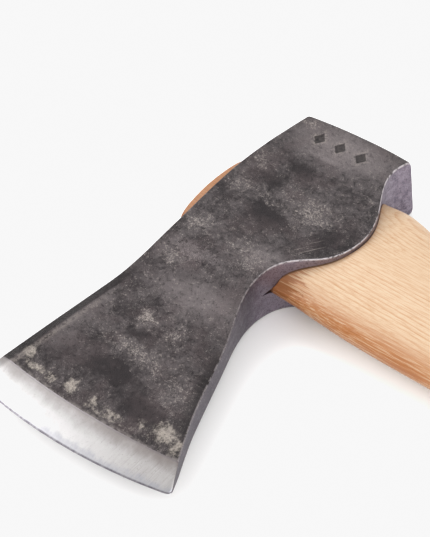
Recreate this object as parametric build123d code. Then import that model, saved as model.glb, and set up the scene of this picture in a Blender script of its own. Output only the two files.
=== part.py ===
from build123d import *
import math
import os

# A small forged hatchet lying on its side, in millimetres.
# +X runs along the handle to its end, -Y points to the cutting edge,
# +Y to the poll, and +Z up. It rests on the plane z = 0.
# Everything is drawn with z = 0 on the head's mid-plane, and the finished
# pieces are then moved so that the origin is the centre of the footprint.

# Head
HEAD_THICKNESS = 24.0
HALF = HEAD_THICKNESS / 2
FLAT_FRONT = -31.0
POLL_END = 33.9
POLL_CORNER = 1.9
POLL_EDGE_ROUNDING = 1.6
TOE = (-46.2, -115.6)
HEEL = (28.6, -115.2)
EDGE_MIDDLE = (-9.6, -119.4)
TOP_LINE = [
    (-16.8, 32.5),
    (-21.7, 14.0),
    (-25.1, -8.0),
    (-26.5, -32.0),
    (-29.0, -51.0),
    (-33.3, -65.0),
    (-37.9, -83.5),
    TOE,
]
POLL_MIDDLE = (2.5, POLL_END)
UNDER_LINE = [
    (25.7, 33.0),
    (21.5, 19.0),
    (24.4, 10.6),
    (28.4, -3.6),
    (23.2, -19.4),
    (12.0, -29.8),
    (8.5, -39.5),
    (12.6, -62.0),
    (20.3, -92.5),
    HEEL,
]

# Half thickness of the head from the neck to the bit, as (y, z)
NECK_AND_BIT = [(FLAT_FRONT, HALF), (-43.0, 11.0), (-50.0, 9.4), (-58.5, 6.8), (-80.0, 5.6), (-104.0, 4.3)]
BIT_SLOPE = 0.055
BIT_PAST_EDGE = -130.0

# Ground bevels of the cutting edge
BEVEL_WIDTH = 11.4
BEVEL_HEIGHT = 4.1
EDGE_LAND = 0.1

# Eye: front y, back y and half width, at the top and at the mouth
EYE_TOP_X = -26.0
EYE_TOP = (-30.6, 10.4, 7.4)
EYE_MOUTH_X = 24.0
EYE_MOUTH = (-39.8, 19.8, 9.9)
EYE_SHAPE = [(0.0, 0.0), (0.14, 0.54), (0.42, 1.0), (0.76, 0.76), (1.0, 0.0)]
EYE_OVERSHOOT = 14.0

# Handle: x, front y, back y, half thickness
HANDLE = [
    (-40.0, -28.8, 8.2, 7.9),
    (-14.0, -31.2, 11.8, 8.6),
    (10.0, -32.9, 18.0, 9.7),
    (26.0, -34.5, 19.5, 10.2),
    (40.0, -36.0, 16.4, 10.5),
    (57.0, -36.8, 9.6, 10.6),
    (78.0, -37.3, 2.6, 10.7),
    (110.0, -37.0, -3.2, 10.8),
    (150.0, -34.7, -3.9, 11.1),
    (195.0, -30.6, -0.4, 11.4),
    (235.0, -29.3, 2.2, 11.7),
    (270.0, -32.6, 1.6, 11.9),
    (296.0, -39.4, -1.4, 11.95),
    (316.0, -45.6, -6.4, 11.8),
]
FRONT_POWER = 2.0
BACK_POWER = 2.5
OVAL_POINTS = 12
KNOB_ROUNDING = 4.0
TONGUE_TOP = (-31.5, -25.0)
TONGUE_SLOPE = 0.08
TONGUE_ROUNDING = 1.8

# Hole for hanging the hatchet, through the knob
HANG_HOLE_X = 297.0
HANG_HOLE_Y = -20.5
HANG_HOLE_RADIUS = 4.0

# Wedges, driven in from the top of the eye
WEDGE_DRIVEN_X = -31.5
WOODEN_WEDGE_HALF = 2.3
WOODEN_WEDGE_TIP_HALF = 0.35
WOODEN_WEDGE_TIP_X = 4.0
STEEL_WEDGE_HALF = 1.1
STEEL_WEDGE_TIP_HALF = 0.3
STEEL_WEDGE_TIP_X = -12.0
STEEL_WEDGE_LENGTH = 15.0
STEEL_WEDGE_ANGLE = 38.0
STEEL_WEDGE_Y = -8.5


def across(x):
    """The plane square to the handle at x: its x runs along +Y, its y along +Z."""
    return Plane(origin=(x, 0, 0), x_dir=(0, 1, 0), z_dir=(1, 0, 0))


def head_outline():
    """The side view of the head, as a face in the XY plane."""
    poll = ThreePointArc(UNDER_LINE[0], POLL_MIDDLE, TOP_LINE[0])
    edge = ThreePointArc(TOE, EDGE_MIDDLE, HEEL)
    face = make_face([Spline(TOP_LINE), edge, Spline(UNDER_LINE), poll])
    corners = face.vertices().sort_by(Axis.Y)[-2:]
    return fillet(corners, POLL_CORNER)


def head_section():
    """The thickness of the head from the poll to the bit, as a face in the YZ plane."""
    neck = Spline(NECK_AND_BIT, tangents=[(-1, 0), (-1, -BIT_SLOPE)])
    bit_start = NECK_AND_BIT[-1]
    bit_end = (BIT_PAST_EDGE, bit_start[1] - BIT_SLOPE * (bit_start[0] - BIT_PAST_EDGE))
    back = POLL_END + 5
    sides = [
        neck,
        Line(bit_start, bit_end),
        Line(bit_end, (bit_end[0], 0)),
        Line((bit_end[0], 0), (back, 0)),
        Line((back, 0), (back, HALF)),
        Line((back, HALF), (FLAT_FRONT, HALF)),
    ]
    upper = make_face(sides)
    return upper + mirror(upper, about=Plane.XZ)


def bevel_cones():
    """Two cones back to back, whose rims meet in the curved cutting edge."""
    edge = ThreePointArc(TOE, EDGE_MIDDLE, HEEL)
    radius = edge.radius
    centre = edge.arc_center
    height = HALF + 1
    top_radius = radius - BEVEL_WIDTH * height / BEVEL_HEIGHT
    low = (Align.CENTER, Align.CENTER, Align.MIN)
    cone = Pos(centre.X, centre.Y, EDGE_LAND / 2) * Cone(radius, top_radius, height, align=low)
    rim = Pos(centre.X, centre.Y, 0) * Cylinder(radius, EDGE_LAND)
    return cone + rim + mirror(cone, about=Plane.XY)


def eye_section(x):
    """The teardrop opening of the eye at x."""
    share = (x - EYE_TOP_X) / (EYE_MOUTH_X - EYE_TOP_X)
    front, back, half = [a + share * (b - a) for a, b in zip(EYE_TOP, EYE_MOUTH)]
    points = [(front + t * (back - front), w * half) for t, w in EYE_SHAPE]
    upper = Spline(points, tangents=[(1, 1), (0, -1)])
    lower = mirror(upper, about=Plane.XZ)
    return across(x) * make_face([upper, lower])


def eye():
    """The tapered hole through the head, longer than the head at both ends."""
    return loft([eye_section(EYE_TOP_X - EYE_OVERSHOOT), eye_section(EYE_MOUTH_X + EYE_OVERSHOOT)])


def head():
    """The forged head with its eye, before its poll edges are rounded."""
    outline = extrude(head_outline(), HALF + 1, both=True)
    section = extrude(across(-80) * head_section(), 160)
    return outline & section & bevel_cones()


def round_power(value, power):
    """A superellipse's coordinate for a sine or cosine."""
    return math.copysign(abs(value) ** (2 / power), value)


def handle_section(x, front, back, half):
    """An oval across the handle, narrow at its front and full at its back."""
    middle = (front + back) / 2
    reach = (back - front) / 2
    points = []
    for i in range(OVAL_POINTS):
        angle = 2 * math.pi * i / OVAL_POINTS
        power = FRONT_POWER if math.cos(angle) < 0 else BACK_POWER
        along = round_power(math.cos(angle), power)
        points.append((middle + reach * along, half * round_power(math.sin(angle), power)))
    return across(x) * make_face(Spline(points, periodic=True))


def handle_blank():
    """The carved handle, with an uncut tongue longer than the eye."""
    return loft([handle_section(*station) for station in HANDLE])


def hanging_hole():
    """The hole through the knob, square to the flat of the handle."""
    return Pos(HANG_HOLE_X, HANG_HOLE_Y, 0) * Cylinder(HANG_HOLE_RADIUS, 4 * HALF)


def above_tongue():
    """Everything beyond the slightly sloping top of the tongue."""
    x, y = TONGUE_TOP
    near = (x + TONGUE_SLOPE * (-60 - y), -60)
    far = (x + TONGUE_SLOPE * (60 - y), 60)
    face = make_face(Polyline(near, far, (-80, 60), (-80, -60), close=True))
    return extrude(face, HALF + 1, both=True)


def round_poll(solid):
    """The head with the two long edges of its poll face rounded."""
    edges = []
    for face in solid.faces():
        centre = face.center()
        if centre.Y > POLL_END - POLL_CORNER and abs(centre.Z) < 1:
            edges += [edge for edge in face.edges() if abs(edge.center().Z) > HALF - 0.01]
    return fillet(edges, POLL_EDGE_ROUNDING)


def handle_before_wedging():
    """The handle driven into the head, with its knob and tongue rounded."""
    blank = handle_blank()
    end_face = blank.faces().sort_by(Axis.X)[-1]
    blank = fillet(end_face.edges(), KNOB_ROUNDING)
    blank -= above_tongue()
    top_face = blank.faces().sort_by(Axis.X)[0]
    blank = fillet(top_face.edges(), TONGUE_ROUNDING)
    return blank - hanging_hole()


def wedge(top_half, tip_half, tip_x, length):
    """A wedge along y that tapers from the top of the tongue to its tip."""
    slope = (top_half - tip_half) / (tip_x - WEDGE_DRIVEN_X)
    start_x = WEDGE_DRIVEN_X - EYE_OVERSHOOT
    start_half = top_half + slope * EYE_OVERSHOOT
    corners = [(start_x, start_half), (tip_x, tip_half), (tip_x, -tip_half), (start_x, -start_half)]
    face = Plane.XZ * make_face(Polyline(*corners, close=True))
    return extrude(face, length / 2, both=True)


def steel_wedge_tool():
    """The steel wedge, longer than the tongue, turned across the wooden one."""
    tool = wedge(STEEL_WEDGE_HALF, STEEL_WEDGE_TIP_HALF, STEEL_WEDGE_TIP_X, STEEL_WEDGE_LENGTH)
    return Pos(0, STEEL_WEDGE_Y, 0) * Rot(STEEL_WEDGE_ANGLE, 0, 0) * tool


def make_pieces():
    """The four pieces of the hatchet, in the drawing frame."""
    steel_head = round_poll(head()) - eye()
    whole_handle = handle_before_wedging() - steel_head
    wood_tool = wedge(WOODEN_WEDGE_HALF, WOODEN_WEDGE_TIP_HALF, WOODEN_WEDGE_TIP_X, 160)
    steel_tool = steel_wedge_tool()
    return {
        "head": steel_head,
        "handle": whole_handle - wood_tool - steel_tool,
        "wooden_wedge": (whole_handle & wood_tool) - steel_tool,
        "steel_wedge": whole_handle & steel_tool,
    }


def main():
    """Write every piece, with the hatchet resting on z = 0 about its origin."""
    pieces = make_pieces()
    boxes = [piece.bounding_box() for piece in pieces.values()]
    middle_x = (min(box.min.X for box in boxes) + max(box.max.X for box in boxes)) / 2
    middle_y = (min(box.min.Y for box in boxes) + max(box.max.Y for box in boxes)) / 2
    place = Pos(-middle_x, -middle_y, HALF)
    os.makedirs("parts", exist_ok=True)
    for name, piece in pieces.items():
        export_step(place * piece.solid(), f"parts/{name}.step")
    print("moved by", place.position)


main()
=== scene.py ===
import math
from functools import reduce

import bmesh
import bpy
import numpy as np
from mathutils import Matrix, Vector


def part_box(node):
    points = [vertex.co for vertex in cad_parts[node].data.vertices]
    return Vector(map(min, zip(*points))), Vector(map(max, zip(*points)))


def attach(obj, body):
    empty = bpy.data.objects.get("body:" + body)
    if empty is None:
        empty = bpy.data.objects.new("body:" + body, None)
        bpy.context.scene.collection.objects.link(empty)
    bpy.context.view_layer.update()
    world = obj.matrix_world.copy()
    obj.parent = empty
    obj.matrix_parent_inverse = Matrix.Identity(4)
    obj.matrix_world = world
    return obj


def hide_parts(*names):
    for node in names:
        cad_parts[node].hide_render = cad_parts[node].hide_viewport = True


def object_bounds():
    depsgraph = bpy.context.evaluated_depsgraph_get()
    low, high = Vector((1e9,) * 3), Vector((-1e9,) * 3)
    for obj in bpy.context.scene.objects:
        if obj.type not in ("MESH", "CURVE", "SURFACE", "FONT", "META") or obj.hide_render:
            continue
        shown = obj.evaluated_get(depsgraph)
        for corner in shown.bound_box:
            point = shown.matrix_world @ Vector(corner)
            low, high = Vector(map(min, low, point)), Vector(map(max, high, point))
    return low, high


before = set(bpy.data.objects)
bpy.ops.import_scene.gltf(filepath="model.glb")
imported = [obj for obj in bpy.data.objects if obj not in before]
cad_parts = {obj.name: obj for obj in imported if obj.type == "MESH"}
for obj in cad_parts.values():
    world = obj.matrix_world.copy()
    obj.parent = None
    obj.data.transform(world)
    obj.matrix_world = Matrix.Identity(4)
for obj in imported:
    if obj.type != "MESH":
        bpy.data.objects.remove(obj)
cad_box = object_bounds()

# The looks of a small forged hatchet that lies on its side.
# Shapes are drawn in millimetres in the head's own frame: +X along the handle,
# +Y to the poll, z = 0 on the mid-plane. place() brings them into the row frame.

MM = 0.001
RANDOM = np.random.default_rng(7)

# Head, side view. Both lines run from the poll to the cutting edge.
HALF = 12.0
TOE = (-46.2, -115.6)
HEEL = (28.6, -115.2)
EDGE_MIDDLE = (-9.6, -119.4)
POLL_MIDDLE = (2.5, 33.9)
TOP_LINE = [
    (-16.8, 32.5), (-21.7, 14.0), (-25.1, -8.0), (-26.5, -32.0), (-29.0, -51.0), (-33.3, -65.0),
    (-37.9, -83.5), TOE,
]
UNDER_LINE = [
    (25.7, 33.0), (21.5, 19.0), (24.4, 10.6), (28.4, -3.6), (23.2, -19.4), (12.0, -29.8),
    (8.5, -39.5), (12.6, -62.0), (20.3, -92.5), HEEL,
]
SHOULDER_TOP_Y = -104.9
SHOULDER_MIDDLE = (-8.0, -107.9)
SHOULDER_UNDER_Y = -106.4
POLL_CORNER = 1.8
TOE_CORNER = 0.8
HEEL_CORNER = 2.4
EDGE_ROUND = 0.55
POLL_ROUND_ALONG = 1.9
POLL_ROUND_DOWN = 3.6
POLL_LEAN = 1.7
POLL_INSET = 0.3
POLL_LEAN_FROM = (12, 16)
POLL_LEAN_FADE = 12

# Head, half thickness from the poll to the bevel, as (y, z)
SECTION = [
    (40, 12.0), (0, 12.0), (-31, 12.0), (-43, 11.0), (-50, 9.4), (-58.5, 6.8), (-80, 5.6), (-108, 4.1),
]
MICRO_BEVEL_SHARE = 0.09
MICRO_BEVEL_HEIGHT = 0.5

# Eye: front y, back y and half width, at the top and at the mouth
EYE_TOP_X, EYE_TOP = -26.0, (-30.6, 10.4, 7.4)
EYE_MOUTH_X, EYE_MOUTH = 24.0, (-39.8, 19.8, 9.9)
EYE_SHAPE = [(0.0, 0.0), (0.14, 0.54), (0.42, 1.0), (0.76, 0.76), (1.0, 0.0)]

# Handle: x, front y, back y, half thickness
HANDLE = [
    (-40.0, -28.8, 8.2, 7.9), (-14.0, -31.2, 11.8, 8.6), (10.0, -32.9, 18.0, 9.7),
    (26.0, -34.5, 19.5, 10.2), (40.0, -36.0, 16.4, 10.5), (57.0, -36.8, 9.6, 10.6),
    (78.0, -37.3, 2.6, 10.7), (110.0, -37.0, -3.2, 10.8), (150.0, -34.7, -3.9, 11.1),
    (195.0, -30.6, -0.4, 11.4), (235.0, -29.3, 2.2, 11.7), (270.0, -32.6, 1.6, 11.9),
    (296.0, -39.4, -1.4, 11.95), (316.0, -45.6, -6.4, 11.8),
]
FRONT_POWER = 2.0
BACK_POWER = 2.5
KNOB_ROUND = 4.5
KNOB_DOME = 1.4
TONGUE_TOP = (-31.5, -25.0)
TONGUE_SLOPE = 0.08
TONGUE_ROUND = 1.3
TONGUE_DOME = 0.5
TONGUE_REACH = 12.0
TONGUE_HALF = 8.0
HANG_HOLE = (297.0, -20.5)
HANG_HOLE_RADIUS = 4.0

# Wedges, driven in from the top of the eye: half thickness at the top and at the tip, and the tip's x
WEDGE_TOP_X = -31.5
WOODEN_WEDGE = (2.3, 0.35, 4.0)
STEEL_WEDGE = (1.1, 0.3, -12.0)
WOODEN_WEDGE_LENGTH = 160
STEEL_WEDGE_LENGTH = 15.0
STEEL_WEDGE_ANGLE = math.radians(38.0)
STEEL_WEDGE_Y = -8.5

# Surface of the head: the thin facet along the bit's top line, how convex the bevel is, and hammer marks.
# The large ones are x, y, radius and depth, the small ones a count, a box and ranges of radius and depth.
FACET_WIDTH = 3.4
FACET_SLOPE = 0.3
FACET_START_Y = -48.0
FACET_FADE = 34.0
BEVEL_BELLY = 0.22
LARGE_MARKS = [
    (-18.0, -44.0, 9.0, 0.25), (2.0, -46.0, 8.0, 0.2), (-4.0, 4.0, 13.0, 0.22), (12.0, 22.0, 9.0, 0.15),
]
SMALL_MARKS = (46, (-30, -100), (26, 30), (4, 9), (0.03, 0.13))

# Handle where it leaves the eye: how far it stands proud, how soon, and how far it keeps the eye's shape
PROUD = 0.22
PROUD_LENGTH = 0.3
EYE_SHAPE_LENGTH = 17.0
EYE_GAP = 0.03
EYE_END_GAP = 0.3

# The head's material slots
SCALE, GROUND, BEVEL = 0, 1, 2

# Points worked out along each curve before it is sampled
TOP_POINTS, UNDER_POINTS, POLL_POINTS, EDGE_POINTS = 1600, 2600, 800, 1200
SECTION_POINTS, HANDLE_POINTS, EYE_POINTS, SIDE_POINTS = 900, 3000, 400, 60
CORNER_STEPS = 20

# Mesh density of the head and the handle, and metres below which points and edges are merged
EDGE_STEPS = EDGE_ROUND * np.array([0, 0.08, 0.29, 0.62, 1.0, 1.6])
POLL_ROWS = 34
EYE_ROWS = 96
BIT_ROWS = 116
BEVEL_ROWS = 22
MICRO_BEVEL_ROWS = 4
EYE_STEPS = 30
WALL_STEPS = 10
POLL_STEPS = 11
CHEEK_COLUMNS = 98
HANDLE_RING = 152
CAP_RINGS = 12
TONGUE_END_ROWS, TONGUE_ROWS, BLEND_ROWS, GRIP_ROWS, KNOB_ROWS = 7, 46, 60, 170, 14
HOLE_SIDES = 64
WELD = 3e-6
SLIVER = 1e-6

# Handle's rows at the eye's mouth: how far inside and past it, how the mouth's x is found, and where
# the evenly spaced rows of the grip start
INSIDE_MOUTH = 0.05
PAST_MOUTH = np.array([0.05, 0.15, 0.3, 0.5, 0.9, 1.5])
MOUTH_GUESS_X = 15.0
MOUTH_TRIES = 12
GRIP_START_X = 40

# Degrees above which an edge is shown sharp
HEAD_SHARP = 34
HANDLE_SHARP = 40

# Camera: degrees, metres and millimetres of lens, aimed at a point of the head's frame
CAMERA_AZIMUTH = math.radians(34.5)
CAMERA_ELEVATION = math.radians(50.0)
CAMERA_DISTANCE = 542.76 * MM
CAMERA_TARGET = (-10.31, -35.74, 0.0)
FOCAL_LENGTH = 110.6
SENSOR_WIDTH = 36

# Studio: softboxes as name, direction from the head, distance and size in metres, and brightness
SOFTBOXES = [
    ("softbox_back", (-0.45, 0.28, 0.85), 2.0, (0.9, 0.6), 6.4),
    ("softbox_left", (-0.66, -0.42, 0.62), 2.0, (0.9, 0.9), 5.5),
    ("softbox_right", (0.66, -0.42, 0.62), 2.0, (1.0, 1.0), 3.4),
]
LIGHT_TARGET = (0, -45, 0)
WORLD_COLOUR = (1.0, 1.0, 1.0)
WORLD_STRENGTH = 1.3
WHITE_POINT = 0.935
FLOOR_COLOUR = (0.90, 0.895, 0.895)
FLOOR_SHADE = (0.885, 0.88, 0.88)
FLOOR_SIZE = 6.0
FLOOR_GAP = 0.0002

# Colours, linear
SCALE_BLACK = (0.01, 0.0085, 0.009)
SCALE_DARK = (0.021, 0.0172, 0.0182)
SCALE_GREY = (0.08, 0.069, 0.07)
SCALE_BROWN = (0.055, 0.042, 0.043)
SCALE_SMOOTH = (0.165, 0.143, 0.144)
SCALE_FLECK = (0.225, 0.196, 0.18)
SCALE_LIGHT = (0.36, 0.325, 0.30)
BARE_BEIGE = (0.285, 0.252, 0.222)
RIM_STEEL = (0.42, 0.385, 0.40)
GROUND_DARK = (0.048, 0.039, 0.052)
GROUND_LILAC = (0.135, 0.113, 0.146)
GROUND_LIGHT = (0.26, 0.225, 0.27)
BEVEL_PALE_AND_PAINTED_REFLECTION = (0.50, 0.49, 0.49)
BEVEL_GREY = (0.31, 0.295, 0.29)
BEVEL_WARM = (0.175, 0.155, 0.148)
BEVEL_BLUE = (0.25, 0.255, 0.29)
BEVEL_DARK = (0.07, 0.06, 0.075)
WOOD_PALE = (0.485, 0.352, 0.232)
WOOD_LINE = (0.36, 0.19, 0.083)
WOOD_DARK = (0.30, 0.108, 0.026)
WEDGE_PALE = (0.38, 0.24, 0.13)
WEDGE_LINE = (0.22, 0.12, 0.055)
SCORCH = (0.22, 0.07, 0.014)
PAINTED_JOINT_SHADE = (0.06, 0.026, 0.012)

# Wood, in millimetres: the middle of its growth rings as (y, z), their width in the handle and in the
# wedge, and how far behind the handle's front the dark band (partly painted shade) ends and where it is
# full
RING_MIDDLE = (27.0, 26.0)
HICKORY_RINGS = 1.4
WEDGE_RINGS = 1.3
FRONT_BAND = (9.0, 0.5)

# Punched mark on the upper cheek: a row of small diamonds, as centres, half sizes, depth and how
# steeply their walls fall
DIAMONDS = [(-8.0, 24.2), (0.2, 24.2), (8.4, 24.2)]
DIAMOND_SIZE = (2.3, 3.2)
DIAMOND_DEPTH = 0.4
DIAMOND_WALL = 2.5

# Soft places on both cheeks, as x, y, radii and strength: lighter, smoother and darker scale, scale worn
# smooth that also carries a painted highlight on the neck (with the neck's fine hammering, which has no
# strength), and bare steel by the bevel
LIGHT_ZONES = [
    (-15.0, 29.0, 7.0, 5.0, 0.7), (-19.0, 5.0, 5.0, 6.0, 0.9), (9.0, -7.0, 15.0, 10.0, 0.85),
    (-19.0, -9.0, 8.0, 5.0, 0.7), (-20.0, -30.0, 9.0, 7.0, 0.85), (-4.0, -6.0, 22.0, 9.0, 0.3),
    (2.0, -33.0, 14.0, 8.0, 0.7), (-20.0, -46.0, 8.0, 5.0, 0.9), (-14.0, -69.0, 5.0, 4.5, 1.6),
    (-3.0, -69.0, 7.0, 8.0, 0.6), (-8.0, -82.0, 18.0, 6.0, 0.8), (11.0, -88.0, 9.0, 13.0, 0.5),
]
SMOOTH_ZONES = [
    (3.0, 24.0, 32.0, 16.0, 0.78), (0.0, 18.0, 20.0, 4.5, 0.8), (-3.0, -54.0, 26.0, 11.0, 0.5),
    (-31.0, -80.0, 7.0, 22.0, 0.3), (6.0, -31.0, 14.0, 8.0, 0.5),
]
DARK_ZONES = [
    (-6.0, 9.0, 18.0, 5.0, 0.5), (-4.0, -16.0, 12.0, 6.0, 0.8), (-12.0, -1.0, 9.0, 5.0, 0.5),
    (19.0, -14.0, 8.0, 9.0, 0.7), (4.0, -49.0, 14.0, 4.0, 0.2), (16.0, -76.0, 4.0, 12.0, 0.6),
    (-27.0, -93.0, 9.0, 10.0, 0.6), (-13.0, -76.0, 9.0, 4.0, 0.7), (-13.0, -91.0, 20.0, 9.0, 0.85),
    (4.0, -98.0, 15.0, 7.0, 1.1),
]
WORN_AND_SHEEN_ZONES = [
    (-14.0, -41.5, 16.0, 6.5, 1.0), (3.0, -37.0, 13.0, 6.0, 0.38), (-20.0, -31.0, 8.0, 6.0, 0.45),
]
HAMMERED_NECK = (-5.0, -33.0, 26.0, 18.0)
BARE_ZONES = [
    (-36.5, -99.5, 4.0, 3.5, 1.0), (-31.0, -103.0, 10.0, 2.4, 0.8), (-4.0, -105.5, 22.0, 1.6, 0.6),
    (-24.5, -104.0, 3.0, 1.8, 0.9), (-18.0, -102.5, 4.5, 4.0, 1.1), (-9.0, -103.3, 3.0, 2.2, 0.8),
    (-1.0, -103.8, 7.0, 2.4, 0.8), (8.5, -102.0, 3.0, 3.4, 0.7), (16.5, -101.0, 8.5, 6.5, 1.0),
    (22.0, -103.0, 3.5, 5.5, 0.9),
]


# ---- curves

def smooth(points, count, start=None, end=None):
    """Evenly spaced points on a cubic spline through these points, with optional end directions."""
    p = np.array(points, float)
    n = len(p)
    knots = np.r_[0, np.cumsum(np.linalg.norm(np.diff(p, axis=0), axis=1))]
    h = np.diff(knots)
    slope = np.diff(p, axis=0) / h[:, None]
    system = np.zeros((n, n))
    right = np.zeros_like(p)
    system[0, 0] = system[-1, -1] = 1
    for i in range(1, n - 1):
        system[i, i - 1 : i + 2] = h[i - 1], 2 * (h[i - 1] + h[i]), h[i]
        right[i] = 6 * (slope[i] - slope[i - 1])
    if start is not None:
        system[0, :2] = 2 * h[0], h[0]
        right[0] = 6 * (slope[0] - np.array(start))
    if end is not None:
        system[-1, -2:] = h[-1], 2 * h[-1]
        right[-1] = 6 * (np.array(end) - slope[-1])
    bend = np.linalg.solve(system, right)
    s = np.linspace(0, knots[-1], count)
    k = np.clip(np.searchsorted(knots, s, side="right") - 1, 0, n - 2)
    before = (knots[k + 1] - s)[:, None]
    after = (s - knots[k])[:, None]
    step = h[k][:, None]
    cubic = (bend[k] * before**3 + bend[k + 1] * after**3) / (6 * step)
    near = p[k] / step - bend[k] * step / 6
    far = p[k + 1] / step - bend[k + 1] * step / 6
    return cubic + near * before + far * after


def arc(a, middle, b, count):
    """Evenly spaced points on the circle's arc through three points."""
    (ax, ay), (bx, by), (cx, cy) = a, middle, b
    d = 2 * (ax * (by - cy) + bx * (cy - ay) + cx * (ay - by))
    aa, bb, cc = ax * ax + ay * ay, bx * bx + by * by, cx * cx + cy * cy
    x = (aa * (by - cy) + bb * (cy - ay) + cc * (ay - by)) / d
    y = (aa * (cx - bx) + bb * (ax - cx) + cc * (bx - ax)) / d
    radius = math.hypot(ax - x, ay - y)
    first = math.atan2(ay - y, ax - x)
    turn = (math.atan2(cy - y, cx - x) - first + math.pi) % (2 * math.pi) - math.pi
    angle = first + turn * np.linspace(0, 1, count)
    return np.c_[x + radius * np.cos(angle), y + radius * np.sin(angle)]


def lengths(curve):
    """Distance along a curve at each of its points."""
    return np.r_[0, np.cumsum(np.linalg.norm(np.diff(curve, axis=0), axis=1))]


def at(curve, distance):
    """Points of a curve at these distances along it."""
    s = lengths(curve)
    return np.stack([np.interp(distance, s, curve[:, i]) for i in range(curve.shape[1])], axis=-1)


def at_share(curve, share):
    """Points of a curve at these shares of its length."""
    return at(curve, np.asarray(share) * lengths(curve)[-1])


def round_corner(a, b, reach):
    """Curve a up to the middle of a rounded corner, and curve b from there on."""
    total = lengths(a)[-1]
    corner = a[-1]
    start = at(a, [total - reach])[0]
    end = at(b, [reach])[0]
    t = np.linspace(0, 1, 2 * CORNER_STEPS + 1)[:, None]
    bend = (1 - t) ** 2 * start + 2 * t * (1 - t) * corner + t**2 * end
    kept_a = a[lengths(a) < total - reach]
    kept_b = b[lengths(b) > reach]
    return np.vstack([kept_a, bend[: CORNER_STEPS + 1]]), np.vstack([bend[CORNER_STEPS:], kept_b])


def ease(value):
    """0 below 0, 1 above 1, and smooth between."""
    v = np.clip(value, 0, 1)
    return v * v * (3 - 2 * v)


# ---- placing and meshes

head_low, head_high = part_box("head")
ORIGIN = np.array([head_low.x - TOE[0] * MM, head_high.y - POLL_MIDDLE[1] * MM, head_low.z + HALF * MM])


def place(points):
    """Millimetres in the head's frame to metres in the row frame."""
    return np.asarray(points) * MM + ORIGIN


def linked(name, data):
    """A new object with this data, in the scene."""
    thing = bpy.data.objects.new(name, data)
    bpy.context.scene.collection.objects.link(thing)
    return thing


class Sheets:
    """Collects grids of points and joins them into one closed mesh, with named numbers on its points."""

    def __init__(self, names):
        self.names = names
        self.points = []
        self.faces = []
        self.materials = []
        self.values = []
        self.count = 0

    def grid(self, x, y, z, material, values):
        """Adds a grid of quads. Coordinates and values may be single, a row, a column or a full grid."""
        x, y, z = np.broadcast_arrays(x, y, z)
        rows, columns = x.shape
        index = self.count + np.arange(rows * columns).reshape(rows, columns)
        corners = [index[:-1, :-1], index[:-1, 1:], index[1:, 1:], index[1:, :-1]]
        self.faces.append(np.stack(corners, axis=-1).reshape(-1, 4))
        self.materials.append(np.full((rows - 1) * (columns - 1), material))
        self.values.append(np.stack([np.broadcast_to(v, x.shape).reshape(-1) for v in values], axis=-1))
        self.points.append(np.stack([x, y, z], axis=-1).reshape(-1, 3))
        self.count += rows * columns

    def build(self, name, materials):
        """The joined mesh as an object with its materials, in the row frame."""
        mesh = bpy.data.meshes.new(name)
        mesh.from_pydata(place(np.vstack(self.points)).tolist(), [], np.vstack(self.faces).tolist())
        mesh.polygons.foreach_set("material_index", np.concatenate(self.materials).astype(np.int32))
        values = np.vstack(self.values)
        for column, value_name in enumerate(self.names):
            layer = mesh.attributes.new(value_name, "FLOAT", "POINT")
            layer.data.foreach_set("value", np.ascontiguousarray(values[:, column], dtype=np.float32))
        form = bmesh.new()
        form.from_mesh(mesh)
        bmesh.ops.remove_doubles(form, verts=form.verts, dist=WELD)
        bmesh.ops.dissolve_degenerate(form, edges=form.edges, dist=SLIVER)
        bmesh.ops.recalc_face_normals(form, faces=form.faces)
        form.to_mesh(mesh)
        form.free()
        for material in materials:
            mesh.materials.append(material)
        return linked(name, mesh)


def shade(piece, sharp_degrees):
    """Smooth shading, with edges sharp above this angle."""
    piece.data.polygons.foreach_set("use_smooth", [True] * len(piece.data.polygons))
    piece.data.set_sharp_from_angle(angle=math.radians(sharp_degrees))


def cut(piece, tool):
    """Cuts a closed tool out of a piece, and deletes the tool."""
    modifier = piece.modifiers.new("cut", "BOOLEAN")
    modifier.operation = "DIFFERENCE"
    modifier.solver = "EXACT"
    modifier.object = tool
    evaluated = piece.evaluated_get(bpy.context.evaluated_depsgraph_get())
    name = piece.data.name
    solid = bpy.data.meshes.new_from_object(evaluated)
    piece.modifiers.clear()
    piece.data = solid
    solid.name = name
    bpy.data.objects.remove(tool)


def prism(corners, along):
    """A closed tool: a flat outline, given as points, carried along a vector. Both in millimetres."""
    form = bmesh.new()
    near = [form.verts.new(place(corner)) for corner in corners]
    far = [form.verts.new(place(np.add(corner, along))) for corner in corners]
    form.faces.new(near)
    form.faces.new(far)
    for i, a in enumerate(near):
        b = near[(i + 1) % len(near)]
        form.faces.new((a, b, far[(i + 1) % len(near)], far[i]))
    bmesh.ops.recalc_face_normals(form, faces=form.faces)
    mesh = bpy.data.meshes.new("tool")
    form.to_mesh(mesh)
    form.free()
    return linked("tool", mesh)


# ---- head

def eye_at(x):
    """Front, back and half width of the eye at x."""
    share = (x - EYE_TOP_X) / (EYE_MOUTH_X - EYE_TOP_X)
    return [a + share * (b - a) for a, b in zip(EYE_TOP, EYE_MOUTH)]


def eye_curve(count):
    """The eye's shape as (share from front to back, share of the half width)."""
    return smooth(EYE_SHAPE, count, start=(0.7, 0.7), end=(0, -1))


def eye_width(x, y):
    """Half width of the eye at a point of the mid-plane, 0 outside it."""
    front, back, half = eye_at(x)
    curve = eye_curve(EYE_POINTS)
    share = (y - front) / (back - front)
    return half * np.interp(share, curve[:, 0], curve[:, 1], left=0, right=0)


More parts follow.
